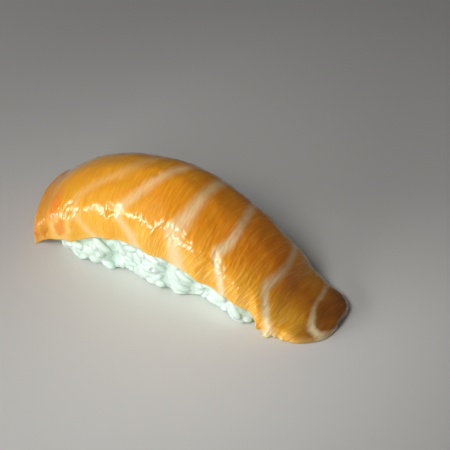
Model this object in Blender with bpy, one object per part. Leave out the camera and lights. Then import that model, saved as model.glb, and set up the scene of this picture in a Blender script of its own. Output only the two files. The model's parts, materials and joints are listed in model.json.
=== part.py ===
"""Salmon nigiri: a bed of pressed sushi rice with a slice of raw salmon draped over it.

X runs along the piece, Y across it and Z up. The origin is on the ground, under the middle of the bounding box.
"""

import math
import random

import bmesh
import bpy
import numpy as np
from mathutils import Matrix, Vector

MM = 0.001

# The slice's cross-sections, from its tip at -X to its tip at +X. Each row is one section:
# top middle x and z, half width, hem x, front hem z, rear hem z.
SLICE_SECTIONS = np.array([
    (-40.4, 0.2, 12.4, -38.7, 0.2, 0.2),
    (-42.5, 9.2, 12.5, -37.0, 1.2, 2.4),
    (-39.1, 13.1, 12.4, -35.0, 2.7, 3.8),
    (-30.6, 20.7, 12.4, -27.6, 5.4, 5.2),
    (-17.0, 27.3, 12.4, -15.5, 11.3, 7.6),
    (-1.0, 29.4, 12.4, 0.0, 11.6, 7.6),
    (13.5, 24.0, 12.2, 14.5, 7.7, 6.4),
    (24.0, 16.3, 11.7, 24.0, 4.4, 3.6),
    (27.8, 12.3, 11.8, 27.6, 0.7, 2.0),
    (31.2, 7.4, 11.7, 31.0, 0.2, 0.8),
    (35.4, 4.7, 10.4, 35.2, 0.2, 0.2),
    (42.7, 3.1, 8.8, 42.7, 0.2, 0.2),
]) * MM
SLICE_THICK = 4.2 * MM
HEM_THICK = 2.6 * MM
TIP_THICK = 2.8 * MM
TIP_FADE = 7.0 * MM
FLAP_CORNER = 0.9 * MM
FRONT_TAIL_CORNER = 7.5 * MM
REAR_TAIL_CORNER = 4.3 * MM

# Shape of a section: the front falls in a slope to a tight shoulder, the rear bends evenly.
FRONT_SHOULDER_POWER = 6.0
FRONT_SLOPE = 0.42
CREST_ROUNDING = 0.35
REAR_SHOULDER_POWER = 2.7

HEM_WAVE = 0.3 * MM
HEM_WAVE_LENGTH = 13.0 * MM
SECOND_WAVE_SIZE = 0.6
SECOND_WAVE_PACE = 1.9
FRONT_WAVE_PHASE = 1.0
REAR_WAVE_PHASE = 2.6
STATIONS = 40
FINE_STATIONS = 400
TIP_CROWDING = 0.09
ACROSS = 25
FINE_TURNS = 1000
TYPICAL_HALF_WIDTH = 12.4 * MM
TYPICAL_DROP = 18.0 * MM
BEND_RADIUS = 3.0 * MM

# The rice fills the space under the slice, this far from it, and stands on a flat base.
GAP = 0.35 * MM
RICE_HALF_LENGTH = 33.5 * MM
RICE_MIDDLE_X = -1.8 * MM
RICE_HALF_WIDTH = 10.0 * MM
RICE_PLAN_POWER = 3.6
RICE_BULGE = 1.05
END_INSET = 0.3 * MM
EVERY_ACROSS = 3

# Clumps and notches of the rice's front edge, in mm: x, and how far the edge stands out of its even line
FRONT_CLUMPS = np.array([
    (-35.0, 0.7),
    (-26.0, 1.1),
    (-22.0, 0.0),
    (-19.0, 0.2),
    (-17.0, -3.2),
    (-13.7, -1.4),
    (-9.5, -1.4),
    (-3.5, -0.2),
    (-0.6, -2.2),
    (3.5, -1.1),
    (6.2, -3.0),
    (12.5, -2.8),
    (14.0, -1.4),
    (20.5, 0.5),
    (31.0, 0.4),
])
CORE_INSET = 0.6 * MM

# Grains that show on the rice's sides
GRAIN_LENGTH = 5.8 * MM
GRAIN_WIDTH = 2.6 * MM
GRAIN_FLATNESS = 0.88
GRAIN_SIDES = 6
GRAIN_RINGS = (-0.6, 0.0, 0.6)
GRAIN_ROUNDNESS = 2.6
GRAIN_COLUMN = 3.4 * MM
GRAIN_ROW = 2.1 * MM
LEAST_GRAIN_OUT = 0.06 * MM
MOST_GRAIN_OUT = 0.54 * MM
GRAIN_CLEAR = 0.3 * MM
GROUND_CLEAR = 0.15 * MM
GRAIN_TRIES = 14
STEEPEST_LEAN = 80
OUTWARD_LEAN = 0.22
SIDE_SHIFT = 0.3
ROW_SHIFT = 0.15
OUTLINE_STEPS = 720
LOOK_AHEAD = 0.34 * MM
SEED = 2

SHARP_EDGE = 60

SALMON_ORANGE = (0.76, 0.30, 0.045)
RICE_WHITE = (0.80, 0.83, 0.74)


def clear_scene():
    for obj in list(bpy.data.objects):
        bpy.data.objects.remove(obj, do_unlink=True)


def surface_material(name, colour, roughness):
    material = bpy.data.materials.new(name)
    material.use_nodes = True
    shader = material.node_tree.nodes["Principled BSDF"]
    shader.inputs["Base Color"].default_value = (*colour, 1.0)
    shader.inputs["Roughness"].default_value = roughness
    shader.inputs["Metallic"].default_value = 0.0
    return material


def new_object(name, mesh, material):
    obj = bpy.data.objects.new(name, mesh)
    bpy.context.scene.collection.objects.link(obj)
    obj.data.materials.append(material)
    return obj


def mesh_from(work, name):
    """Turns a bmesh into a mesh of triangles with its faces pointing out."""
    bmesh.ops.recalc_face_normals(work, faces=work.faces)
    bmesh.ops.triangulate(work, faces=work.faces)
    mesh = bpy.data.meshes.new(name)
    work.to_mesh(mesh)
    work.free()
    return mesh


def on_curve(rows, at):
    """The rows' values at fractional row number `at`, on a smooth curve through every row."""
    last = len(rows) - 1
    low = min(int(at), last - 1)
    t = at - low
    p0, p1, p2, p3 = (rows[max(0, min(last, low + k))] for k in (-1, 0, 1, 2))
    slope = (p2 - p0) * t
    bend = (2 * p0 - 5 * p1 + 4 * p2 - p3) * t**2
    twist = (3 * p1 - p0 - 3 * p2 + p3) * t**3
    return 0.5 * (2 * p1 + slope + bend + twist)


def slice_stations():
    """Sections evenly spaced along the slice, closer together at its tips, and how far along each one is."""
    last = len(SLICE_SECTIONS) - 1
    fine = np.array([on_curve(SLICE_SECTIONS, at) for at in np.linspace(0, last, FINE_STATIONS)])
    steps = np.linalg.norm(np.diff(fine[:, :2], axis=0), axis=1)
    along = np.concatenate([[0], np.cumsum(steps)])
    share = np.linspace(0, 1, STATIONS)
    share -= TIP_CROWDING * np.sin(2 * math.pi * share)
    places = share * along[-1]
    columns = [np.interp(places, along, fine[:, c]) for c in range(fine.shape[1])]
    return np.stack(columns, axis=1), places


def hem_wave(place, phase):
    """The slight unevenness of a hand-cut edge."""
    turn = 2 * math.pi * place / HEM_WAVE_LENGTH
    second = SECOND_WAVE_SIZE * math.sin(SECOND_WAVE_PACE * turn + 2 * phase)
    return HEM_WAVE * (math.sin(turn + phase) + second)


def corner_loss(from_tip, radius):
    """How much narrower a strip with rounded corners is, at a distance from its tip."""
    if from_tip >= radius:
        return 0.0
    return radius - math.sqrt(radius**2 - (radius - from_tip) ** 2)


def profile(turn):
    """Share of the half width, and share of the drop from top to hem, at an angle over a section."""
    power = 2 / (FRONT_SHOULDER_POWER if turn < 0 else REAR_SHOULDER_POWER)
    side = math.copysign(abs(math.sin(turn)) ** power, turn)
    level = max(0.0, math.cos(turn)) ** power
    if turn < 0:
        ramp = math.hypot(side, CREST_ROUNDING) - CREST_ROUNDING
        level *= 1 - FRONT_SLOPE * ramp / (math.hypot(1, CREST_ROUNDING) - CREST_ROUNDING)
    return side, 1 - level


def across_turns():
    """Angles over a section from the front hem at -90 degrees to the rear hem at +90, closer where it bends."""
    fine = np.linspace(-math.pi / 2, math.pi / 2, FINE_TURNS)
    points = np.array([profile(turn) for turn in fine]) * (TYPICAL_HALF_WIDTH, TYPICAL_DROP)
    steps = np.diff(points, axis=0)
    headings = np.unwrap(np.arctan2(steps[:, 1], steps[:, 0]))
    bends = np.abs(np.diff(headings, append=headings[-1]))
    along = np.concatenate([[0], np.cumsum(np.hypot(steps[:, 0], steps[:, 1]) + BEND_RADIUS * bends)])
    return np.interp(np.linspace(0, along[-1], ACROSS), along, fine)


TURNS = across_turns()


def section_point(section, turn, width_loss, lift):
    """A point of a section, with its sides moved in and its top sunk by the lengths given."""
    top_x, top_z, half_width, hem_x, front_z, rear_z = section
    depth = Vector((hem_x - top_x, 0, (front_z if turn < 0 else rear_z) - top_z))
    sunk = lift / depth.length
    side, drop = profile(turn)
    across = Vector((0, (half_width - width_loss) * side, 0))
    return Vector((top_x, 0, top_z)) + depth * (sunk + (1 - sunk) * drop) + across


def slice_ring(section, place, length):
    """One closed cross-section: over the top from hem to hem, and back underneath."""
    from_flap, from_tail = place, length - place
    thick = TIP_THICK + (SLICE_THICK - TIP_THICK) * min(1.0, min(from_flap, from_tail) / TIP_FADE)
    outer, inner = [], []
    for turn in TURNS:
        phase = FRONT_WAVE_PHASE if turn < 0 else REAR_WAVE_PHASE
        tail_corner = FRONT_TAIL_CORNER if turn < 0 else REAR_TAIL_CORNER
        loss = corner_loss(from_flap, FLAP_CORNER) + corner_loss(from_tail, tail_corner)
        wave = Vector((0, hem_wave(place, phase) * math.sin(turn) ** 3, 0))
        outer.append(section_point(section, turn, loss, 0.0) + wave)
        inner.append(section_point(section, turn, loss + HEM_THICK, thick))
    return outer + inner[::-1]


def slice_mesh():
    """The slice of salmon, lofted from tip to tip."""
    sections, places = slice_stations()
    work = bmesh.new()
    rings = []
    for section, place in zip(sections, places):
        ring = slice_ring(section, place, places[-1])
        rings.append([work.verts.new(point) for point in ring])
    count = 2 * ACROSS
    for ring, following in zip(rings, rings[1:]):
        for i in range(count):
            j = (i + 1) % count
            work.faces.new((ring[i], ring[j], following[j], following[i]))
    for ring in (rings[0], rings[-1]):
        for i in range(ACROSS - 1):
            work.faces.new((ring[i], ring[count - 1 - i], ring[count - 2 - i], ring[i + 1]))
    return mesh_from(work, "salmon")


def plan_half_width(x):
    """Half the width of the rice's base at x: a rectangle with well-rounded ends."""
    share = min(1.0, abs((x - RICE_MIDDLE_X) / RICE_HALF_LENGTH))
    return RICE_HALF_WIDTH * (1 - share**RICE_PLAN_POWER) ** (1 / RICE_PLAN_POWER)


def front_clump(x):
    """How far the rice's front edge stands out of its even line at x."""
    return np.interp(x, FRONT_CLUMPS[:, 0] * MM, FRONT_CLUMPS[:, 1] * MM)


def core_ring(section):
    """A cross-section of the rice: the underside of the slice less the gap, then down the sides to the base."""
    hem_x = section[3]
    plan = plan_half_width(hem_x)
    width_loss = section[2] - min(plan, section[2] - HEM_THICK - GAP)
    over = [section_point(section, turn, width_loss, SLICE_THICK + GAP) for turn in TURNS[::EVERY_ACROSS]]
    front, rear = over[0], over[-1]
    down = [Vector((rear.x, RICE_BULGE * rear.y, rear.z / 2)), Vector((rear.x, rear.y, 0))]
    foot = max(plan + min(front_clump(hem_x), 0) - CORE_INSET, plan / 2)
    up = [Vector((front.x, -foot, 0)), Vector((front.x, RICE_BULGE * (front.y - foot) / 2, front.z / 2))]
    return over + down + up


def core_mesh():
    """The pressed rice without its loose grains."""
    sections, _ = slice_stations()
    reach = RICE_HALF_LENGTH - END_INSET
    inside = [s for s in sections if abs(s[3] - RICE_MIDDLE_X) < reach]
    work = bmesh.new()
    rings = [[work.verts.new(point) for point in core_ring(s)] for s in inside]
    for ring, following in zip(rings, rings[1:]):
        for i in range(len(ring)):
            j = (i + 1) % len(ring)
            work.faces.new((ring[i], ring[j], following[j], following[i]))
    work.faces.new(rings[0])
    work.faces.new(rings[-1])
    return mesh_from(work, "rice")


def hem_height(x, y):
    """Height of the slice's hem above the ground at x, on the side that y lies on."""
    column = 4 if y < 0 else 5
    order = SLICE_SECTIONS[:, 3].argsort()
    return np.interp(x, SLICE_SECTIONS[order, 3], SLICE_SECTIONS[order, column])


def outline_places():
    """Points round the rice's base a column of grains apart, each with its outward direction."""
    turns = np.linspace(0, 2 * math.pi, OUTLINE_STEPS + 1)
    power = 2 / RICE_PLAN_POWER
    xs = np.sign(np.cos(turns)) * np.abs(np.cos(turns)) ** power * RICE_HALF_LENGTH + RICE_MIDDLE_X
    ys = np.sign(np.sin(turns)) * np.abs(np.sin(turns)) ** power * RICE_HALF_WIDTH
    along = np.concatenate([[0], np.cumsum(np.hypot(np.diff(xs), np.diff(ys)))])
    columns = round(along[-1] / GRAIN_COLUMN)
    step = along[-1] / columns
    for column in range(columns):
        at = [np.interp(column * step + d, along, c) for d in (0, LOOK_AHEAD) for c in (xs, ys)]
        ahead = Vector((at[2] - at[0], at[3] - at[1], 0)).normalized()
        out = ahead.cross(Vector((0, 0, 1)))
        clump = front_clump(at[0]) if at[1] < 0 else 0.0
        yield Vector((at[0], at[1] - clump, 0)), ahead, out


def grain_points(centre, axis, out):
    """Corners of one low-sided grain: two end points and three rings round its axis."""
    across = axis.cross(out).normalized()
    points = [centre - axis * GRAIN_LENGTH / 2]
    for share in GRAIN_RINGS:
        radius = GRAIN_WIDTH / 2 * (1 - abs(share) ** GRAIN_ROUNDNESS) ** 0.5
        for side in range(GRAIN_SIDES):
            turn = 2 * math.pi * side / GRAIN_SIDES
            ring = across * math.cos(turn) + out * (GRAIN_FLATNESS * math.sin(turn))
            points.append(centre + axis * (share * GRAIN_LENGTH / 2) + ring * radius)
    points.append(centre + axis * GRAIN_LENGTH / 2)
    return points


def fits_on_side(points):
    """True if the grain stays above the ground and below the slice's hem."""
    lowest = min(p.z for p in points)
    return lowest > GROUND_CLEAR and all(p.z < hem_height(p.x, p.y) - GRAIN_CLEAR for p in points)


def grain_mesh(points):
    work = bmesh.new()
    verts = [work.verts.new(p) for p in points]
    starts = range(1, len(verts) - 1, GRAIN_SIDES)
    rings = [verts[start : start + GRAIN_SIDES] for start in starts]
    for i in range(GRAIN_SIDES):
        j = (i + 1) % GRAIN_SIDES
        work.faces.new((verts[0], rings[0][i], rings[0][j]))
        for near, far in zip(rings, rings[1:]):
            work.faces.new((near[i], far[i], far[j], near[j]))
        work.faces.new((verts[-1], rings[-1][j], rings[-1][i]))
    return mesh_from(work, "grain")


def row_heights(place):
    """Heights of the rows of grains at a place, evenly spread between the ground and the slice's hem."""
    low = GROUND_CLEAR + GRAIN_WIDTH / 2
    high = hem_height(place.x, place.y) - GRAIN_CLEAR - GRAIN_WIDTH / 2
    if high < low:
        return []
    return np.linspace(low, high, 1 + math.ceil((high - low) / GRAIN_ROW))


def drawn_grain(draw, place, ahead, out, height, flattening):
    """Corners of a grain drawn at random near one place of the grid, less tilted the nearer flattening is to 1."""
    lean = math.radians(draw.uniform(-STEEPEST_LEAN, STEEPEST_LEAN)) * (1 - flattening)
    shift = ahead * draw.uniform(-SIDE_SHIFT, SIDE_SHIFT) * GRAIN_COLUMN
    lift = Vector((0, 0, height + draw.uniform(-ROW_SHIFT, ROW_SHIFT) * GRAIN_ROW))
    centre = place + out * draw.uniform(LEAST_GRAIN_OUT, MOST_GRAIN_OUT) + shift + lift
    axis = ahead * math.cos(lean) + Vector((0, 0, math.sin(lean)))
    axis += out * draw.uniform(-OUTWARD_LEAN, OUTWARD_LEAN)
    return grain_points(centre, axis.normalized(), out)


def placed_grains(draw):
    """Corners of every grain on the rice's sides, row above row up to the hem."""
    for place, ahead, out in outline_places():
        for height in row_heights(place):
            for attempt in range(GRAIN_TRIES):
                points = drawn_grain(draw, place, ahead, out, height, attempt / GRAIN_TRIES)
                if fits_on_side(points):
                    yield points
                    break


def keep_largest_body(mesh):
    """Drops loose scraps and sealed hollows, which are bodies of their own."""
    work = bmesh.new()
    work.from_mesh(mesh)
    left, bodies = set(work.verts), []
    while left:
        body, edge = set(), [left.pop()]
        while edge:
            vert = edge.pop()
            body.add(vert)
            near = {e.other_vert(vert) for e in vert.link_edges} & left
            left -= near
            edge.extend(near)
        bodies.append(body)
    bodies.sort(key=len)
    for body in bodies[:-1]:
        bmesh.ops.delete(work, geom=list(body), context="VERTS")
    work.to_mesh(mesh)
    work.free()


def fused_rice(core, draw):
    """Joins the grains to the core in one union."""
    grains = bpy.data.collections.new("grains")
    bpy.context.scene.collection.children.link(grains)
    for points in placed_grains(draw):
        grains.objects.link(bpy.data.objects.new("grain", grain_mesh(points)))
    union = core.modifiers.new("join grains", "BOOLEAN")
    union.operation = "UNION"
    union.operand_type = "COLLECTION"
    union.collection = grains
    union.solver = "MANIFOLD"
    graph = bpy.context.evaluated_depsgraph_get()
    joined = bpy.data.meshes.new_from_object(core.evaluated_get(graph))
    core.modifiers.clear()
    core.data = joined
    for obj in list(grains.objects):
        bpy.data.objects.remove(obj, do_unlink=True)
    bpy.data.collections.remove(grains)
    keep_largest_body(core.data)


def centre_on_origin(objects):
    """Moves every mesh so that the whole stands on z = 0, centred on the origin."""
    points = np.array([vert.co for obj in objects for vert in obj.data.vertices])
    low, high = points.min(0), points.max(0)
    shift = Vector((-(low[0] + high[0]) / 2, -(low[1] + high[1]) / 2, -low[2]))
    for obj in objects:
        obj.data.transform(Matrix.Translation(shift))


def shade(obj):
    obj.data.shade_smooth()
    obj.data.set_sharp_from_angle(angle=math.radians(SHARP_EDGE))


def main():
    clear_scene()
    salmon = new_object("salmon", slice_mesh(), surface_material("raw_salmon", SALMON_ORANGE, 0.3))
    rice = new_object("rice", core_mesh(), surface_material("sushi_rice", RICE_WHITE, 0.4))
    fused_rice(rice, random.Random(SEED))
    centre_on_origin([salmon, rice])
    shade(salmon)
    shade(rice)


main()
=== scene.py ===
"""Salmon nigiri, dressed: a draped slice of raw salmon with its fat stripes, over grains of sushi rice."""

import json
import math
import random

import bmesh
import bpy
import numpy as np
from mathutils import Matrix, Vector
from mathutils.bvhtree import BVHTree

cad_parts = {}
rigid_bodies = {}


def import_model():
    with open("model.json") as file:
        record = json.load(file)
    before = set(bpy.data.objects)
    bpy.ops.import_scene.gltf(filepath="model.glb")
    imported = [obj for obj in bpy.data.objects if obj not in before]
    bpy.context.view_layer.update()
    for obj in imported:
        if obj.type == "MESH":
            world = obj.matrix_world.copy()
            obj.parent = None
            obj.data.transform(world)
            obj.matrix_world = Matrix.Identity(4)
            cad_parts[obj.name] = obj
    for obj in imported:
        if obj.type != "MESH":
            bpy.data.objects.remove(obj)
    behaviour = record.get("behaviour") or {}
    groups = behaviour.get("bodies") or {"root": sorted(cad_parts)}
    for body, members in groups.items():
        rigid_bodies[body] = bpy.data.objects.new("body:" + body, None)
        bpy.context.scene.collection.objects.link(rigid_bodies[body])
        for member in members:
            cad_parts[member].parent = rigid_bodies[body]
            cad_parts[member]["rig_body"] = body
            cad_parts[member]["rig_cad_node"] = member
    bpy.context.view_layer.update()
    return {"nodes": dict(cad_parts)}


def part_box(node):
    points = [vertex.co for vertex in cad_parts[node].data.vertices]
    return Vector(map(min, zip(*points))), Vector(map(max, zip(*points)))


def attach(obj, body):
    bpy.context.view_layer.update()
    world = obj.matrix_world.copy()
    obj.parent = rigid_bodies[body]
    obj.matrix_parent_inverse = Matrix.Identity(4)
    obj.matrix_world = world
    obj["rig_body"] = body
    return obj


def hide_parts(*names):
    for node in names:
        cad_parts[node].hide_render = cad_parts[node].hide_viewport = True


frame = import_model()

MM = 0.001

# The slice's cross-sections in mm, from the flap's tip at -X to the tail's tip at +X:
# top middle x and z, half width, hem x, front hem z, rear hem z.
SLICE_SECTIONS = np.array([
    (-40.4, 0.2, 12.4, -38.7, 0.2, 0.2),
    (-42.5, 9.2, 12.5, -37.0, 1.2, 2.4),
    (-39.1, 13.1, 12.4, -35.0, 2.7, 3.8),
    (-30.6, 20.7, 12.4, -27.6, 5.4, 5.2),
    (-17.0, 27.3, 12.4, -15.5, 11.3, 7.6),
    (-1.0, 29.4, 12.4, 0.0, 11.6, 7.6),
    (13.5, 24.0, 12.2, 14.5, 7.7, 6.4),
    (24.0, 16.3, 11.7, 24.0, 4.4, 3.6),
    (27.8, 12.3, 11.8, 27.6, 0.7, 2.0),
    (31.2, 7.4, 11.7, 31.0, 0.2, 0.8),
    (35.4, 4.7, 10.4, 35.2, 0.2, 0.2),
    (42.7, 3.1, 8.8, 42.7, 0.2, 0.2),
])
# Its thickness in the middle, at the hems and at the tips, and how far from a tip it thins, in mm
SLICE_THICK = 4.2
HEM_THICK = 2.6
TIP_THICK = 2.8
TIP_FADE = 7.0
# The radii of its corners in mm, and its profile: how square the front and rear shoulders are, how much of
# the drop the front slope takes, and how round the crest is
FLAP_CORNER = 0.9
FRONT_TAIL_CORNER = 7.5
REAR_TAIL_CORNER = 4.3
FRONT_SHOULDER_POWER = 6.0
FRONT_SLOPE = 0.42
CREST_ROUNDING = 0.35
REAR_SHOULDER_POWER = 2.7
# The hand-cut hem wavers by this many mm, in two waves.
HEM_WAVE = 0.3
HEM_WAVE_LENGTH = 13.0
SECOND_WAVE_SIZE = 0.6
SECOND_WAVE_PACE = 1.9
FRONT_WAVE_PHASE = 1.0
REAR_WAVE_PHASE = 2.6
FINE_STATIONS = 2000

# The flat slab that is draped: its cells, width and rim in mm, and how finely the drape is measured
CELLS_ALONG = 96
CELLS_ACROSS = 26
SLAB_WIDTH = 50.0
RIM = 0.9
SMOOTHING = 2
TURN_STEPS = 1200
PLACE_STEPS = 260
SHARE_STEPS = 200
NOISE_CELLS = 128

# Fat stripes: how far along the slice, in mm from the flap's tip, each one lies at these shares of the way
# from the crest down to the front hem (-1) and to the rear hem (1)
STRIPE_SHARES = (-1.0, -0.8, -0.7, -0.6, -0.5, -0.4, -0.3, -0.15, 0.05, 0.3, 0.6, 1.0)
STRIPES = (
    (21.6, 20.2, 19.2, 18.3, 17.7, 17.4, 17.2, 17.0, 17.0, 17.2, 17.6, 19.0),
    (36.7, 33.2, 31.2, 28.9, 28.8, 29.6, 33.8, 41.0, 45.5, 48.5, 46.5, 41.0),
    (50.4, 48.5, 46.2, 44.1, 45.2, 47.0, 49.0, 51.6, 54.6, 58.6, 57.5, 53.0),
    (61.8, 61.6, 61.3, 60.1, 60.9, 62.3, 63.0, 63.9, 64.6, 65.0, 62.5, 59.0),
    (75.6, 75.4, 74.8, 73.9, 72.8, 74.2, 75.2, 75.9, 75.7, 74.3, 71.5, 69.5),
    (95.7, 94.3, 93.1, 91.6, 90.0, 88.8, 89.8, 90.9, 91.4, 90.2, 87.5, 86.0),
    (108.8, 108.2, 107.2, 105.9, 105.2, 104.8, 104.4, 103.8, 103.2, 103.4, 102.5, 103.0),
)
# Each stripe's half width in mm and its strength, at the front hem, front shoulder, crest and rear hem
STRIPE_STATIONS = (-1.0, -0.6, 0.0, 1.0)
STRIPE_HALF_WIDTHS = (
    (0.6, 0.4, 0.5, 0.5),
    (0.9, 1.0, 1.6, 1.2),
    (1.6, 1.3, 1.2, 1.2),
    (2.1, 1.8, 1.2, 1.2),
    (1.3, 1.3, 1.0, 1.2),
    (2.3, 1.2, 1.0, 1.2),
    (0.8, 0.8, 0.5, 0.8),
)
STRIPE_STRENGTHS = (
    (0.4, 0.1, 0.0, 0.0),
    (0.6, 0.3, 0.2, 0.4),
    (0.7, 0.5, 0.5, 0.7),
    (0.9, 0.8, 0.6, 0.8),
    (1.0, 1.0, 0.55, 0.8),
    (1.0, 1.0, 0.5, 0.8),
    (0.9, 0.9, 0.35, 0.4),
)
CORNER_ROUNDING = 0.028
CORNER_STEPS = 521
CORNER_REACH = 1.3
STRIPE_STEP = 0.01

# The frayed hem near the tail, in mm: how far fibre ends stick out, how thick they are, where the fraying
# starts and stops, and over how far it sets in and dies out; then its reach up from the hem, and the fibre
# ends' mean and spread, as shares
FRINGE_DEPTH = 1.5
FRINGE_END = 0.7
FRINGE_START = 88
FRINGE_STOP = 108
FRINGE_RISE = 1.5
FRINGE_FALL = 12
FRINGE_BAND = 0.1
FRINGE_MEAN = 0.5
FRINGE_SPREAD = 0.6
FRINGE_SEED = 5

# How many mm towards the tail the fibres lean for each mm up the slice, on the slope and below the shoulder,
# and the share of that lean at places along the slice
SHOULDER_SHARE = 0.58
SLOPE_LEAN = 0.2
SIDE_LEAN = 0.62
LEAN_PLACES = (0, 45, 62, 100, 107)
LEAN_SHARES = (0, 0.1, 0.9, 1.0, 0.8)

# Relief of the outer face, in mm. Soft unevenness: bump to bump, height, seed
SOFT_WAVES = (
    (11.0, 0.16, 1),
    (3.6, 0.09, 2),
)
# Fibres: how far apart, how long, share of the height, seed; then the height at places along the slice
FIBRE_WAVES = (
    (0.7, 4.0, 1.0, 3),
    (1.3, 1.8, 0.5, 4),
)
FIBRE_PLACES = (30, 90)
FIBRE_HEIGHTS = (0.035, 0.07)
# Fat stripes are sunk a little: depth, and width as a share of the stripe's
VALLEY_DEPTH = 0.12
VALLEY_SHARE = 1.1
# A small pit beside the crest: mm along and over, half length, half width and depth
PIT_PLACE = (50.7, -1.7)
PIT_SIZE = (1.0, 0.8)
PIT_DEPTH = 0.3
# Spots where the front shoulder is pressed flatter and dimpled: mm along, mm over and radius
DIMPLED = (
    (61.0, -14.2, 4.4),
    (26.6, -12.8, 3.2),
    (42.0, -13.6, 3.0),
    (16.5, -16.5, 1.8),
    (73.5, -13.0, 2.8),
)
DIMPLE_SIZE = (0.9, 1.1)
DIMPLE_HEIGHT = 0.24
DIMPLE_SEED = 6
PRESSED_DEPTH = 0.4
PRESSED_WIDTH = 1.6
# The relief dies out down the rim: it has gone at this share of the thickness.
RELIEF_END = 0.625


# Numbers along the slice

def on_curve(rows, at):
    """The rows' values at fractional row number `at`, on a smooth curve through every row."""
    last = len(rows) - 1
    low = min(int(at), last - 1)
    t = at - low
    p0, p1, p2, p3 = (rows[max(0, min(last, low + k))] for k in (-1, 0, 1, 2))
    slope = (p2 - p0) * t
    bend = (2 * p0 - 5 * p1 + 4 * p2 - p3) * t**2
    twist = (3 * p1 - p0 - 3 * p2 + p3) * t**3
    return 0.5 * (2 * p1 + slope + bend + twist)


STATIONS = np.linspace(0, len(SLICE_SECTIONS) - 1, FINE_STATIONS)
FINE = np.array([on_curve(SLICE_SECTIONS, at) for at in STATIONS])
ALONG = np.concatenate([[0], np.cumsum(np.linalg.norm(np.diff(FINE[:, :2], axis=0), axis=1))])
SLICE_LENGTH = ALONG[-1]


def section_at(place):
    """The six numbers of the cross-section at each distance along the slice."""
    return [np.interp(place, ALONG, FINE[:, column]) for column in range(FINE.shape[1])]


def corner_loss(from_tip, radius):
    """How much narrower a strip with rounded corners is, at a distance from its tip."""
    short = np.clip(radius - from_tip, 0, radius)
    return radius - np.sqrt(radius**2 - short**2)


def hem_wave(place, turn):
    """The slight unevenness of a hand-cut edge."""
    phase = np.where(turn < 0, FRONT_WAVE_PHASE, REAR_WAVE_PHASE)
    wave = 2 * math.pi * place / HEM_WAVE_LENGTH
    second = SECOND_WAVE_SIZE * np.sin(SECOND_WAVE_PACE * wave + 2 * phase)
    return HEM_WAVE * (np.sin(wave + phase) + second)


def profile(turn):
    """Share of the half width, and share of the drop from crest to hem, at each turn over the rice: the
    front falls in a slope to a tight shoulder, the rear bends evenly."""
    angle = turn * math.pi / 2
    power = 2 / np.where(turn < 0, FRONT_SHOULDER_POWER, REAR_SHOULDER_POWER)
    side = np.sign(angle) * np.abs(np.sin(angle)) ** power
    full = math.hypot(1, CREST_ROUNDING) - CREST_ROUNDING
    ramp = (np.hypot(side, CREST_ROUNDING) - CREST_ROUNDING) / full
    slope = np.where(turn < 0, FRONT_SLOPE, 0.0) * ramp
    return side, 1 - (1 - slope) * np.clip(np.cos(angle), 0, 1) ** power


def draped(place, turn, depth):
    """Where each point of the slice lies on the rice, in mm, from its distance from the flap's tip, its turn
    over the rice, -1 at the front hem and 1 at the rear one, and its depth, as a share of the thickness."""
    top_x, top_z, half_width, hem_x, front_z, rear_z = section_at(place)
    from_tail = SLICE_LENGTH - place
    tail_corner = np.where(turn < 0, FRONT_TAIL_CORNER, REAR_TAIL_CORNER)
    half_width = half_width - corner_loss(place, FLAP_CORNER) - corner_loss(from_tail, tail_corner)
    fade = np.clip(np.minimum(place, from_tail) / TIP_FADE, 0, 1)
    thick = TIP_THICK + (SLICE_THICK - TIP_THICK) * fade
    side, drop = profile(turn)
    angle = turn * math.pi / 2
    down_x = hem_x - top_x
    down_z = np.where(turn < 0, front_z, rear_z) - top_z
    sunk = thick * depth / np.hypot(down_x, down_z)
    reach = sunk + (1 - sunk) * drop
    wave = hem_wave(place, turn) * np.sin(angle) ** 3 * (1 - depth)
    across = (half_width - HEM_THICK * depth) * side + wave
    return np.stack([top_x + down_x * reach, across, top_z + down_z * reach], axis=-1)


def turn_table(places, shares):
    """For the front and the rear: the turn at each distance along and share of the way from the crest to the
    hem, and the length of that way."""
    turns = np.linspace(0, 1, TURN_STEPS) ** 2
    tables = []
    for sign in (-1, 1):
        grid_place, grid_turn = np.meshgrid(places, turns, indexing="ij")
        points = draped(grid_place, sign * grid_turn, np.zeros_like(grid_place))
        lengths = np.linalg.norm(np.diff(points, axis=1), axis=2)
        lengths = np.concatenate([np.zeros((len(places), 1)), np.cumsum(lengths, axis=1)], axis=1)
        turn = [np.interp(shares * row[-1], row, turns) for row in lengths]
        tables.append((np.array(turn), lengths[:, -1]))
    return tables


def read_grid(table, row, column):
    """A grid's values at fractional rows and columns."""
    row = np.clip(row, 0, table.shape[0] - 1.001)
    column = np.clip(column, 0, table.shape[1] - 1.001)
    i, j = row.astype(int), column.astype(int)
    a, b = row - i, column - j
    near = table[i, j] * (1 - b) + table[i, j + 1] * b
    far = table[i + 1, j] * (1 - b) + table[i + 1, j + 1] * b
    return near * (1 - a) + far * a


def soft_noise(x, y, seed):
    """Smooth unevenness between -1 and 1, about one unit from bump to bump."""
    table = np.random.default_rng(seed).uniform(-1, 1, (NOISE_CELLS, NOISE_CELLS))
    i, j = np.floor(x).astype(int), np.floor(y).astype(int)
    a, b = x - i, y - j
    a, b = a * a * (3 - 2 * a), b * b * (3 - 2 * b)
    i, next_i = i % NOISE_CELLS, (i + 1) % NOISE_CELLS
    j, next_j = j % NOISE_CELLS, (j + 1) % NOISE_CELLS
    near = table[i, j] * (1 - b) + table[i, next_j] * b
    far = table[next_i, j] * (1 - b) + table[next_i, next_j] * b
    return near * (1 - a) + far * a


# Modelling by hand

def deselect_all():
    bpy.ops.object.select_all(action="DESELECT")


def take_up(obj):
    deselect_all()
    obj.select_set(True)
    bpy.context.view_layer.objects.active = obj


def edit(obj):
    take_up(obj)
    bpy.ops.object.mode_set(mode="EDIT")


def done():
    bpy.ops.object.mode_set(mode="OBJECT")


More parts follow.
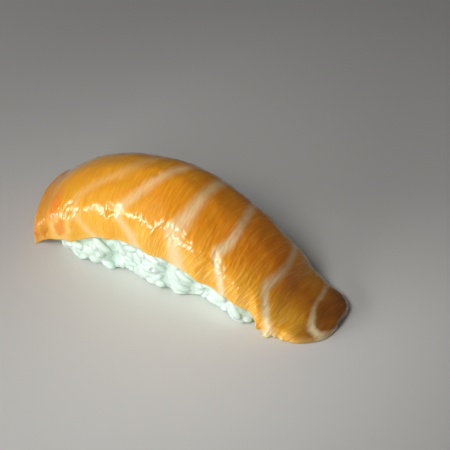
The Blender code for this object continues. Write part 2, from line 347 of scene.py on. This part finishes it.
def apply_modifiers(obj):
    take_up(obj)
    for modifier in list(obj.modifiers):
        bpy.ops.object.modifier_apply(modifier=modifier.name)


def points_of(mesh):
    points = np.empty(len(mesh.vertices) * 3)
    mesh.vertices.foreach_get("co", points)
    return points.reshape(-1, 3)


def normals_of(mesh):
    normals = np.empty(len(mesh.vertices) * 3)
    mesh.vertex_normals.foreach_get("vector", normals)
    return normals.reshape(-1, 3)


def set_points(mesh, points):
    mesh.vertices.foreach_set("co", points.ravel())
    mesh.update()


def set_attribute(mesh, name, values):
    """Writes one number, or one vector, for each point of the mesh."""
    kind, field = ("FLOAT", "value") if values.ndim == 1 else ("FLOAT_VECTOR", "vector")
    layer = mesh.attributes.new(name, kind, "POINT")
    layer.data.foreach_set(field, values.astype(np.float32).ravel())


# The slice of salmon

def renumber(mesh):
    """Numbers the points and faces by their places: the bevel numbers them differently on each run, and
    grains that only just miss the slice would come and go with that."""
    points = points_of(mesh)
    order = np.lexsort(points.T)
    number = np.argsort(order).tolist()
    faces = []
    for polygon in mesh.polygons:
        corners = [number[i] for i in polygon.vertices]
        first = corners.index(min(corners))
        faces.append((*corners[first:], *corners[:first]))
    mesh.clear_geometry()
    mesh.from_pydata(points[order], [], sorted(faces))
    mesh.update()


def flat_slab():
    """The slice as it is cut: a flat slab with rounded rims and its outer face up."""
    deselect_all()
    bpy.ops.mesh.primitive_grid_add(x_subdivisions=CELLS_ALONG, y_subdivisions=CELLS_ACROSS, size=1)
    slab = bpy.context.object
    slab.name = "salmon_slice"
    edit(slab)
    bpy.ops.mesh.select_all(action="SELECT")
    bpy.ops.transform.resize(value=(SLICE_LENGTH * MM, SLAB_WIDTH * MM, 1))
    bpy.ops.mesh.extrude_region_move(TRANSFORM_OT_translate={"value": (0, 0, -SLICE_THICK * MM)})
    bpy.ops.mesh.select_all(action="SELECT")
    bpy.ops.mesh.normals_make_consistent(inside=False)
    bpy.ops.mesh.select_all(action="DESELECT")
    work = bmesh.from_edit_mesh(slab.data)
    for edge in work.edges:
        # A rim edge joins a level face and an upright one.
        level = [abs(face.normal.z) > 0.5 for face in edge.link_faces]
        edge.select_set(any(level) and not all(level))
    bmesh.update_edit_mesh(slab.data)
    bpy.ops.mesh.bevel(offset=RIM * MM, segments=1, affect="EDGES")
    done()
    renumber(slab.data)
    smooth = slab.modifiers.new("round", "SUBSURF")
    smooth.levels = smooth.render_levels = SMOOTHING
    apply_modifiers(slab)
    return slab


def stripe_places(share):
    """How far along each fat stripe lies at each share of the way over, with its corners rounded."""
    fine = np.linspace(-CORNER_REACH, CORNER_REACH, CORNER_STEPS)
    reach = np.exp(-0.5 * ((fine[:, None] - fine[None, :]) / CORNER_ROUNDING) ** 2)
    reach /= reach.sum(axis=1, keepdims=True)
    return [np.interp(share, fine, reach @ np.interp(fine, STRIPE_SHARES, row)) for row in STRIPES]


def stripe_gaps(place, share, side_length):
    """For each point: how far the nearest stripe's middle is, its half width and its strength."""
    gap = np.full(place.shape, np.inf)
    half = np.ones(place.shape)
    strength = np.zeros(place.shape)
    here = stripe_places(share)
    ahead = stripe_places(share + STRIPE_STEP)
    for middle, next_middle, widths, powers in zip(here, ahead, STRIPE_HALF_WIDTHS, STRIPE_STRENGTHS):
        lean = (next_middle - middle) / (STRIPE_STEP * side_length)
        distance = np.abs(place - middle) / np.hypot(1, lean)
        nearer = distance < gap
        gap = np.where(nearer, distance, gap)
        half = np.where(nearer, np.interp(share, STRIPE_STATIONS, widths), half)
        strength = np.where(nearer, np.interp(share, STRIPE_STATIONS, powers), strength)
    return gap, half, strength


def fringe(place, across):
    """How far the loose fibre ends stick out of the frayed hem near the tail, in mm."""
    uneven = soft_noise(place / FRINGE_END, np.zeros_like(place), FRINGE_SEED)
    ends = FRINGE_MEAN + FRINGE_SPREAD * uneven
    rise = np.clip((place - FRINGE_START) / FRINGE_RISE, 0, 1)
    fall = np.clip((FRINGE_STOP - place) / FRINGE_FALL, 0, 1)
    at_hem = np.clip((-across - 1) / FRINGE_BAND + 1, 0, 1)
    return FRINGE_DEPTH * ends * rise * fall * at_hem


def fibre_shift(place, over, side_length):
    """How far along, in mm, a fibre has drifted from where it crosses the crest: little on the slope, more
    below the front shoulder."""
    lean = np.interp(place, LEAN_PLACES, LEAN_SHARES)
    slope = np.minimum(-over, SHOULDER_SHARE * side_length)
    below = np.maximum(-over - SHOULDER_SHARE * side_length, 0)
    return -lean * (SLOPE_LEAN * slope + SIDE_LEAN * below)


def relief(place, over, fibre_along, gap, half, strength):
    """How far the outer face stands above the smooth slice, in mm: soft unevenness, sunk fat stripes, raised
    fibres, one small pit by the crest, and the pressed, dimpled spots that break up the shine."""
    height = np.zeros(place.shape)
    for size, high, seed in SOFT_WAVES:
        height += high * soft_noise(place / size, over / size, seed)
    height -= VALLEY_DEPTH * strength * np.exp(-((gap / (VALLEY_SHARE * half)) ** 2))
    fibre_height = np.interp(place, FIBRE_PLACES, FIBRE_HEIGHTS)
    for apart, long, share, seed in FIBRE_WAVES:
        height += fibre_height * share * soft_noise(fibre_along / apart, over / long, seed)
    pit_along = (place - PIT_PLACE[0]) / PIT_SIZE[0]
    pit_over = (over - PIT_PLACE[1]) / PIT_SIZE[1]
    height -= PIT_DEPTH * np.exp(-(pit_along**2) - pit_over**2)
    dimples = DIMPLE_HEIGHT * soft_noise(place / DIMPLE_SIZE[0], over / DIMPLE_SIZE[1], DIMPLE_SEED)
    for along, down, radius in DIMPLED:
        from_spot = ((place - along) / radius) ** 2
        height += dimples * np.exp(-from_spot - ((over - down) / radius) ** 2)
        height -= PRESSED_DEPTH * np.exp(-from_spot - ((over - down) / PRESSED_WIDTH) ** 2)
    return height


def salmon_slice():
    slab = flat_slab()
    mesh = slab.data
    flat = points_of(mesh)
    low, high = flat.min(0), flat.max(0)
    share = (flat - low) / (high - low)
    place = share[:, 0] * SLICE_LENGTH
    across = 2 * share[:, 1] - 1
    depth = 1 - share[:, 2]

    places = np.linspace(0, SLICE_LENGTH, PLACE_STEPS)
    shares = np.linspace(0, 1, SHARE_STEPS)
    (front_turn, front_length), (rear_turn, rear_length) = turn_table(places, shares)
    row = place / SLICE_LENGTH * (PLACE_STEPS - 1)
    column = np.abs(across) * (SHARE_STEPS - 1)
    in_front = across < 0
    turn = np.where(in_front, -read_grid(front_turn, row, column), read_grid(rear_turn, row, column))
    front_side = np.interp(place, places, front_length)
    rear_side = np.interp(place, places, rear_length)
    side_length = np.where(in_front, front_side, rear_side)
    over = across * side_length

    points = draped(place, turn, depth)
    points[:, 1] -= fringe(place, across)
    set_points(mesh, points * MM)

    gap, half, strength = stripe_gaps(place, across, side_length)
    fibre_along = place - fibre_shift(place, over, side_length)
    outer = np.clip(1 - depth / RELIEF_END, 0, 1)
    height = relief(place, over, fibre_along, gap, half, strength) * outer
    set_points(mesh, (points + normals_of(mesh) * height[:, None]) * MM)

    # The slice is laid where its CAD solid lies.
    node_low, node_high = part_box("salmon")
    points = points_of(mesh)
    low, high = points.min(0), points.max(0)
    shift = (np.array(node_low) + np.array(node_high)) / 2 - (low + high) / 2
    shift[2] = np.array(node_low)[2] - low[2]
    set_points(mesh, points + shift)
    mesh.shade_smooth()

    set_attribute(mesh, "flat_mm", np.stack([place, over, depth * SLICE_THICK], axis=1))
    set_attribute(mesh, "fibre_mm", np.stack([fibre_along, over, depth * SLICE_THICK], axis=1))
    set_attribute(mesh, "fat_gap", gap)
    set_attribute(mesh, "fat_half", half)
    set_attribute(mesh, "fat_strength", strength)
    set_attribute(mesh, "from_hem", side_length - np.abs(over))
    return slab


# The rice

GRAIN_KINDS = {
    # name: length, width and thickness in mm, and how far the ends bend
    "plump_grains": (5.2, 2.9, 2.5, 0.25),
    "long_grains": (6.0, 2.6, 2.3, 0.5),
    "short_grains": (4.6, 2.7, 2.4, 0.1),
}
# A grain's faces round it and along it, where its bent ends start, as a share of its length, and their swell
GRAIN_SIDES = 8
GRAIN_RINGS = 7
GRAIN_END = 0.22
GRAIN_END_SWELL = 1.12

# Where grains lie, in mm: how far apart, how deep in the rice, and how far clear of ground and slice; then
# how far they turn from level, in radians, how far they tilt, and their sizes as a share of the usual one
GRAIN_SEED = 7
GRAIN_DARTS = 9000
GRAIN_SPACING = 1.95
GRAIN_DEPTHS = (-0.95, -0.45)
GROUND_GAP = 0.05
SLICE_GAP = 0.1
SLICE_REACH = 4.0
GRAIN_TURN = 0.7
GRAIN_TILT = 0.2
GRAIN_SIZES = (0.88, 1.1)
GRAIN_TRIES = 6
# A face of the rice is on its sides if its normal rises less than this.
SIDE_STEEPNESS = 0.75

# How the rice is melted together, in mm: the core, and then the core with its grains
MERGE_DISTANCE = 0.01
CORE_VOXEL = 0.55
CORE_SOFTENING = 10
SWELL = 1.0
SHRINK = 1.07
FILLED_VOXEL = 0.35
FILLED_SOFTENING = 5
SOFTENING_SHARE = 0.5


def displace(obj, name, distance):
    modifier = obj.modifiers.new(name, "DISPLACE")
    modifier.mid_level = 0
    modifier.strength = distance * MM


def melt(obj, voxel):
    modifier = obj.modifiers.new("melt", "REMESH")
    modifier.mode = "VOXEL"
    modifier.voxel_size = voxel * MM


def soften_and_settle(obj, rounds):
    """Softens the melted rice, applies its modifiers and keeps it on the ground."""
    modifier = obj.modifiers.new("soften", "SMOOTH")
    modifier.iterations = rounds
    modifier.factor = SOFTENING_SHARE
    apply_modifiers(obj)
    points = points_of(obj.data)
    points[:, 2] = np.maximum(points[:, 2], 0)
    set_points(obj.data, points)
    obj.data.shade_smooth()


def rice_core():
    """The pressed rice under the grains: the CAD rice, melted together."""
    core = frame["nodes"]["rice"].copy()
    core.data = core.data.copy()
    core.name = "rice_core"
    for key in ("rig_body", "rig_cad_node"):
        if key in core:
            del core[key]
    core.parent = None
    bpy.context.scene.collection.objects.link(core)
    core.data.materials.clear()
    edit(core)
    bpy.ops.mesh.select_all(action="SELECT")
    bpy.ops.mesh.remove_doubles(threshold=MERGE_DISTANCE * MM)
    done()
    melt(core, CORE_VOXEL)
    soften_and_settle(core, CORE_SOFTENING)
    return core


def fill_between(core, grains):
    """Fills the core up between the grains, as cooked rice sticks together: swells, melts and shrinks it."""
    deselect_all()
    for grain in grains:
        copy = grain.copy()
        copy.data = grain.data.copy()
        bpy.context.scene.collection.objects.link(copy)
        copy.select_set(True)
    core.select_set(True)
    bpy.context.view_layer.objects.active = core
    bpy.ops.object.join()
    displace(core, "swell", SWELL)
    melt(core, FILLED_VOXEL)
    displace(core, "shrink", -SHRINK)
    soften_and_settle(core, FILLED_SOFTENING)


def grain_model(name, size):
    """One grain of cooked rice, lying along X at the origin."""
    length, width, thickness, bend = size
    deselect_all()
    bpy.ops.mesh.primitive_uv_sphere_add(segments=GRAIN_SIDES, ring_count=GRAIN_RINGS, radius=0.5)
    grain = bpy.context.object
    grain.name = name
    edit(grain)
    bpy.ops.mesh.select_all(action="SELECT")
    bpy.ops.transform.rotate(value=math.pi / 2, orient_axis="Y", center_override=(0, 0, 0))
    bpy.ops.transform.resize(value=(length * MM, width * MM, thickness * MM))
    bent = (0, 0, -bend * MM / 2)
    for side in (-1, 1):
        bpy.ops.mesh.select_all(action="DESELECT")
        work = bmesh.from_edit_mesh(grain.data)
        for vert in work.verts:
            vert.select_set(side * vert.co.x > GRAIN_END * length * MM)
        work.select_flush_mode()
        bmesh.update_edit_mesh(grain.data)
        bpy.ops.transform.translate(value=bent)
        bpy.ops.transform.resize(value=(1, GRAIN_END_SWELL, GRAIN_END_SWELL), center_override=bent)
    done()
    return grain


def side_places(core, draw):
    """Spots for grains on the rice's sides, no two nearer than the spacing."""
    mesh = core.data
    mesh.calc_loop_triangles()
    triangles = []
    areas = []
    for triangle in mesh.loop_triangles:
        centre = sum((mesh.vertices[i].co for i in triangle.vertices), Vector()) / 3
        if abs(triangle.normal.z) < SIDE_STEEPNESS:
            triangles.append((centre, triangle.normal.copy()))
            areas.append(triangle.area)
    spots = []
    cell = {}
    for centre, normal in draw.choices(triangles, weights=areas, k=GRAIN_DARTS):
        key = tuple(int(c // (GRAIN_SPACING * MM)) for c in centre)
        near = [
            other
            for dx in (-1, 0, 1) for dy in (-1, 0, 1) for dz in (-1, 0, 1)
            for other in cell.get((key[0] + dx, key[1] + dy, key[2] + dz), ())
        ]
        if all((other - centre).length > GRAIN_SPACING * MM for other in near):
            cell.setdefault(key, []).append(centre)
            spots.append((centre, normal))
    return spots


def scattered_grains(core, slice_tree, draw):
    """Grains of each kind laid flat on the rice's sides, below the slice and above the ground."""
    models = {name: grain_model(name, size) for name, size in GRAIN_KINDS.items()}
    shapes = {name: points_of(model.data) for name, model in models.items()}
    placed = {name: [] for name in models}
    names = sorted(models)
    for centre, normal in side_places(core, draw):
        name = draw.choice(names)
        for _ in range(GRAIN_TRIES):
            out = Vector(normal)
            side = out.cross(Vector((0, 0, 1))).normalized()
            up = side.cross(out)
            angle = draw.gauss(0, GRAIN_TURN)
            tilt = draw.uniform(-GRAIN_TILT, GRAIN_TILT)
            axis = (side * math.cos(angle) + up * math.sin(angle) + out * tilt).normalized()
            width = out.cross(axis).normalized()
            thick = axis.cross(width)
            size = draw.uniform(*GRAIN_SIZES)
            turned = np.array([axis, width, thick])
            middle = centre + out * draw.uniform(*GRAIN_DEPTHS) * MM
            points = shapes[name] * size @ turned + np.array(middle)
            points[:, 2] += max(0.0, GROUND_GAP * MM - points[:, 2].min())
            if is_clear(points, slice_tree):
                placed[name].append(points)
                break
    return {name: joined_copies(models[name], placed[name]) for name in names}


def is_clear(points, slice_tree):
    """True if no point of the grain lies inside the slice or touches it."""
    for point in points:
        near, normal, _, distance = slice_tree.find_nearest(Vector(point))
        if (Vector(point) - near).dot(normal) < SLICE_GAP * MM and distance < SLICE_REACH * MM:
            return False
    return True


def joined_copies(model, copies):
    """One mesh that holds the model's faces once for each placed copy."""
    faces = [tuple(polygon.vertices) for polygon in model.data.polygons]
    count = len(model.data.vertices)
    all_faces = [tuple(i + k * count for i in face) for k in range(len(copies)) for face in faces]
    mesh = bpy.data.meshes.new(model.name)
    mesh.from_pydata(np.concatenate(copies), [], all_faces)
    mesh.update()
    mesh.shade_smooth()
    single = model.data
    model.data = mesh
    bpy.data.meshes.remove(single)
    return model


# Materials

def linear(hex_colour):
    """An sRGB hex colour as linear red, green, blue and alpha."""
    channels = [int(hex_colour[i : i + 2], 16) / 255 for i in (1, 3, 5)]
    return (*[c / 12.92 if c <= 0.04045 else ((c + 0.055) / 1.055) ** 2.4 for c in channels], 1.0)


def fill_in(tree, node, inputs):
    """Sets each input of a node to a plain value, or links it to another node's output."""
    for socket, value in inputs.items():
        if isinstance(value, bpy.types.NodeSocket):
            tree.links.new(value, node.inputs[socket])
        else:
            node.inputs[socket].default_value = value


def add(tree, kind, output, inputs, **settings):
    """Adds a node with its settings and links, and gives back one of its outputs."""
    node = tree.nodes.new(kind)
    for name, value in settings.items():
        setattr(node, name, value)
    fill_in(tree, node, inputs)
    return node.outputs[output]


def new_material(name):
    material = bpy.data.materials.new(name)
    material.use_nodes = True
    tree = material.node_tree
    return material, tree, tree.nodes["Principled BSDF"]


def painted(tree, base, colour, *shares):
    """The base with a second colour over it, as much as the product of the shares. A share is another node's
    output, or what it fades with, where it starts, where it is full, how much then shows, and how much
    shows at the start if that isn't nothing."""
    amount = None
    for share in shares:
        if isinstance(share, tuple):
            value, start, full, most, least = (*share, 0.0)[:5]
            limits = {"Value": value, "From Min": start, "From Max": full, "To Min": least, "To Max": most}
            share = add(tree, "ShaderNodeMapRange", "Result", limits, interpolation_type="SMOOTHSTEP")
        if amount is None:
            amount = share
        else:
            amount = add(tree, "ShaderNodeMath", "Value", {0: amount, 1: share}, operation="MULTIPLY")
    inputs = {"Factor": amount, 6: base, 7: linear(colour)}
    return add(tree, "ShaderNodeMix", 2, inputs, data_type="RGBA")


def from_oval(tree, flat, middle, size):
    """0 in the middle of an oval on the flat slice, 1 on its rim and more outside; middle and size in mm."""
    place = add(tree, "ShaderNodeVectorMath", "Vector", {0: flat, 1: (*middle, 0)}, operation="SUBTRACT")
    shrunk = (1 / size[0], 1 / size[1], 0)
    place = add(tree, "ShaderNodeMapping", "Vector", {"Vector": place, "Scale": shrunk})
    return add(tree, "ShaderNodeVectorMath", "Value", {0: place}, operation="LENGTH")


# How many of each pattern lie in one mm of salmon: streaks of muscle about 0.8 mm apart, fibres drawn as
# coarse as they need to show, 0.4 mm apart, the fat's feathered edge every 2 mm, soft patches of 8 mm and
# ripples of 0.9 mm in the moist film. The stretches draw them out across the slice, as the muscle runs.
STREAKS_PER_MM = 1.2
FIBRES_PER_MM = 2.4
FEATHERS_PER_MM = 0.5
PATCHES_PER_MM = 0.12
RIPPLES_PER_MM = 1.15
STREAK_STRETCH = (1, 0.1, 0.5)
FIBRE_STRETCH = (1, 0.06, 0.5)
RIPPLE_STRETCH = (1, 0.3, 0.5)
RIPPLE_HEIGHT = 0.27
# How much the patterns feather the edges: of the fat in mm, and of the whorl in its own half widths
FEATHER = 1.0
STREAK_FEATHER = 0.9
WHORL_FEATHER = 1.4
# Beside the flap: middle and half size, in mm along and over, of a deep orange patch and a whorl below it
DEEP_OVAL = ((20.5, -10), (4.2, 6.5))
WHORL_OVAL = ((23.3, -16.8), (4.2, 3.2))
FILM_ROUGHNESS = (0.35, 0.5)


def raw_salmon():
    """Raw salmon, sliced with a wet knife: translucent orange flesh under a moist, shiny film, crossed by
    creamy stripes of fat."""
    material, tree, shader = new_material("raw_salmon")
    names = ("fat_gap", "fat_half", "fat_strength", "from_hem")
    fat_gap, fat_half, fat_strength, from_hem = (
        add(tree, "ShaderNodeAttribute", "Fac", {}, attribute_name=name) for name in names
    )
    flat = add(tree, "ShaderNodeAttribute", "Vector", {}, attribute_name="flat_mm")
    fibre = add(tree, "ShaderNodeAttribute", "Vector", {}, attribute_name="fibre_mm")
    along = add(tree, "ShaderNodeSeparateXYZ", "X", {"Vector": flat})
    over = add(tree, "ShaderNodeSeparateXYZ", "Y", {"Vector": flat})

    # Each pattern: its coordinates, stretch, number per mm, detail and roughness
    streaks, fine, ripples, patches, feather = (
        add(tree, "ShaderNodeTexNoise", "Fac", {
            "Vector": add(tree, "ShaderNodeMapping", "Vector", {"Vector": place, "Scale": stretch}),
            "Scale": per_mm,
            "Detail": detail,
            "Roughness": roughness,
        })
        for place, stretch, per_mm, detail, roughness in (
            (fibre, STREAK_STRETCH, STREAKS_PER_MM, 3.0, 0.6),
            (fibre, FIBRE_STRETCH, FIBRES_PER_MM, 2.0, 0.5),
            (fibre, RIPPLE_STRETCH, RIPPLES_PER_MM, 1.0, 0.5),
            (flat, (1, 1, 1), PATCHES_PER_MM, 2.0, 0.5),
            (flat, (1, 1, 1), FEATHERS_PER_MM, 3.0, 0.6),
        )
    )

    # Unevenness around 0, added to how far the fat's middle and the whorl's are: their edges feather.
    uneven, streaked = (
        add(tree, "ShaderNodeMath", "Value", {0: pattern, 1: 0.5}, operation="SUBTRACT")
        for pattern in (feather, streaks)
    )
    deep = from_oval(tree, flat, *DEEP_OVAL)
    whorl = from_oval(tree, flat, *WHORL_OVAL)
    gap, whorl = (
        add(tree, "ShaderNodeMath", "Value", {0: uneven, 1: much, 2: distance}, operation="MULTIPLY_ADD")
        for much, distance in ((FEATHER, fat_gap), (WHORL_FEATHER, whorl))
    )
    inputs = {0: streaked, 1: STREAK_FEATHER, 2: gap}
    gap = add(tree, "ShaderNodeMath", "Value", inputs, operation="MULTIPLY_ADD")
    from_fat = add(tree, "ShaderNodeMath", "Value", {0: gap, 1: fat_half}, operation="DIVIDE")

    # The flesh is golden by the flap. Each layer over it: its colour, and then what it fades with, where it
    # starts, where it is full, how much then shows, and how much shows at the start if that isn't nothing.
    shown = (along, 15, 85, 0.85, 0.45)
    layers = (
        # a deeper orange towards the tail
        ("#df7d0d", (along, 35, 92, 1)),
        # soft patches
        ("#e4921a", (patches, 0.4, 0.65, 0.3)),
        # painted light: paler where the hem is thin, a glow standing in for light from the rice below
        ("#f4b832", (from_hem, 18, 4, 0.85)),
        # painted shade: darker over the tail's crest, and dark brown at its tip
        ("#a4540c", (along, 86, 102, 0.5), (over, -7, -1, 1)),
        ("#6e3a10", (along, 99, 107, 0.92)),
        # dark streaks, dark fibres, light fibres, and pale fibres by the front hem
        ("#d57f0e", (streaks, 0.6, 0.36, 0.2), shown),
        ("#cf760c", (fine, 0.5, 0.36, 0.2), shown),
        ("#f8c654", (fine, 0.5, 0.66, 0.28), shown, (along, 105, 92, 1, 0.2)),
        ("#fbdc98", (fine, 0.5, 0.64, 0.34), (from_hem, 12, 5, 1), (along, 42, 60, 1),
         (along, 105, 94, 1, 0.2), (over, -2, -6, 1)),
        # painted shade on the flap's end, then the deep orange beside it, and the whorl under that with its
        # pale rim
        ("#cf8016", (along, 20, 15, 0.7)),
        ("#ec7e0a", (deep, 1, 0.3, 0.75)),
        ("#e8802c", (whorl, 1, 0.3, 0.6)),
        ("#f6d08c", (whorl, 0.6, 0.95, 0.4), (whorl, 1.4, 1, 1)),
        # painted light: a pale glow along the thin edge of the hem
        ("#f4c862", (from_hem, 3, 0, 0.5)),
        # creamy fat
        ("#f2e0b4", (from_fat, 1.9, 0, 0.85), fat_strength),
    )
    colour = linear("#e79f1a")
    for layer in layers:
        colour = painted(tree, colour, *layer)

    bumps = {"Height": ripples, "Strength": 1.0, "Distance": RIPPLE_HEIGHT * MM}
    bumps = add(tree, "ShaderNodeBump", "Normal", bumps)
    smooth, rough = FILM_ROUGHNESS
    limits = {"Value": fine, "From Min": 0.3, "From Max": 0.7, "To Min": smooth, "To Max": rough}
    fill_in(tree, shader, {
        "Base Color": colour,
        "Roughness": add(tree, "ShaderNodeMapRange", "Result", limits, interpolation_type="SMOOTHSTEP"),
        "IOR": 1.35,
        "Specular IOR Level": 0.4,
        "Coat Weight": 1.0,
        "Coat IOR": 1.47,
        "Coat Roughness": 0.06,
        "Subsurface Weight": 0.5,
        "Subsurface Radius": (1.0, 0.45, 0.15),
        "Subsurface Scale": 1.6 * MM,
        "Normal": bumps,
        "Coat Normal": bumps,
    })
    return material


# How many patterns lie in one metre of rice: shades a little smaller than a grain, and grit of about 1.4 mm
SHADES_PER_M = 260.0
GRIT_PER_M = 700.0
GRIT_HEIGHT = 0.1


def sushi_rice():
    """Cooked short-grain rice: milky and translucent, with the slight shine of its sticky starch."""
    material, tree, shader = new_material("sushi_rice")
    place = add(tree, "ShaderNodeTexCoord", "Object", {})
    shades = add(tree, "ShaderNodeTexNoise", "Fac", {"Vector": place, "Scale": SHADES_PER_M})
    grit = add(tree, "ShaderNodeTexNoise", "Fac", {"Vector": place, "Scale": GRIT_PER_M})
    bumps = {"Height": grit, "Strength": 0.5, "Distance": GRIT_HEIGHT * MM}
    fill_in(tree, shader, {
        "Base Color": painted(tree, linear("#d8f2e0"), "#e2f6e8", shades),
        "Roughness": 0.35,
        "IOR": 1.35,
        "Coat Weight": 0.25,
        "Coat Roughness": 0.15,
        "Subsurface Weight": 1.0,
        "Subsurface Radius": (1.0, 1.0, 0.9),
        "Subsurface Scale": 0.8 * MM,
        "Normal": add(tree, "ShaderNodeBump", "Normal", bumps),
    })
    return material


def pale_floor():
    """A board painted with matt paint: even and hardly shiny."""
    material, tree, shader = new_material("pale_floor")
    fill_in(tree, shader, {"Base Color": linear("#dcdad6"), "Roughness": 0.7})
    return material


def finish_with(obj, material):
    obj.data.materials.clear()
    obj.data.materials.append(material)


# Floor, lights and camera

VIEW_TURN = math.radians(32)
VIEW_RISE = math.radians(42)
VIEW_DISTANCE = 350 * MM
VIEW_TARGET = Vector((0, 0, 12 * MM))
PIXELS_PER_MM = 4.0
PICTURE_WIDTH = 450
SENSOR_WIDTH = 36
AIM_RIGHT = 9.15 * MM
AIM_UP = 1.7 * MM
FLOOR_SIZE = 6
STRIP_TARGET = Vector((-15, -8, 12)) * MM
KEY_TARGET = Vector((20, -9, 11)) * MM
# Each softbox: its target, the direction it shines from, its distance and its width and height in metres,
# its spread in degrees, its power in watts, and whether the moist film mirrors it. The strip and the spark
# make the glints along the front shoulder, and the key and the fill light the flesh.
LIGHTS = {
    "strip": (STRIP_TARGET, (-0.42, -0.86, 0.30), 0.35, (0.36, 0.06), 180, 0.94, True),
    "spark": (STRIP_TARGET, (-0.85, -0.52, 0.12), 0.35, (0.05, 0.05), 180, 0.12, True),
    "key": (KEY_TARGET, (-0.15, -0.60, 0.78), 0.25, (0.1, 0.1), 40, 0.021, False),
    "fill": (VIEW_TARGET, (0.45, -0.62, 0.64), 0.8, (0.6, 0.6), 180, 0.38, False),
}
WORLD_STRENGTH = 0.08


def aimed(obj, target):
    obj.rotation_mode = "QUATERNION"
    obj.rotation_quaternion = (target - obj.location).to_track_quat("-Z", "Y")


def set_camera():
    back = Vector((
        math.sin(VIEW_TURN) * math.cos(VIEW_RISE),
        -math.cos(VIEW_TURN) * math.cos(VIEW_RISE),
        math.sin(VIEW_RISE),
    ))
    right = Vector((math.cos(VIEW_TURN), math.sin(VIEW_TURN), 0))
    up = back.cross(right)
    camera = bpy.data.objects.new("camera", bpy.data.cameras.new("camera"))
    bpy.context.scene.collection.objects.link(camera)
    camera.location = VIEW_TARGET + back * VIEW_DISTANCE
    aimed(camera, VIEW_TARGET + right * AIM_RIGHT + up * AIM_UP)
    camera.data.sensor_width = SENSOR_WIDTH
    camera.data.lens = SENSOR_WIDTH * PIXELS_PER_MM * VIEW_DISTANCE / MM / PICTURE_WIDTH
    bpy.context.scene.camera = camera


def set_lights():
    for name, (target, direction, distance, size, spread, power, mirrored) in LIGHTS.items():
        light = bpy.data.objects.new(name, bpy.data.lights.new(name, "AREA"))
        bpy.context.scene.collection.objects.link(light)
        light.location = target + Vector(direction).normalized() * distance
        light.data.shape = "RECTANGLE"
        light.data.size, light.data.size_y = size
        light.data.spread = math.radians(spread)
        light.data.energy = power
        light.visible_camera = False
        light.visible_glossy = mirrored
        aimed(light, target)


def set_stage():
    deselect_all()
    bpy.ops.mesh.primitive_plane_add(size=FLOOR_SIZE)
    floor = bpy.context.object
    floor.name = "floor"
    finish_with(floor, pale_floor())
    world = bpy.data.worlds.new("studio")
    world.use_nodes = True
    background = world.node_tree.nodes["Background"]
    background.inputs["Color"].default_value = linear("#f4f6f8")
    background.inputs["Strength"].default_value = WORLD_STRENGTH
    bpy.context.scene.world = world
    set_lights()
    bpy.context.scene.view_settings.view_transform = "Standard"


def main():
    draw = random.Random(GRAIN_SEED)
    set_camera()
    set_stage()

    salmon = salmon_slice()
    finish_with(salmon, raw_salmon())
    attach(salmon, "root")
    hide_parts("salmon")

    work = bmesh.new()
    work.from_mesh(salmon.data)
    slice_tree = BVHTree.FromBMesh(work)
    work.free()

    rice = sushi_rice()
    core = rice_core()
    grains = scattered_grains(core, slice_tree, draw)
    fill_between(core, grains.values())
    for piece in [core, *grains.values()]:
        finish_with(piece, rice)
        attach(piece, "root")
        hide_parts("rice")


main()
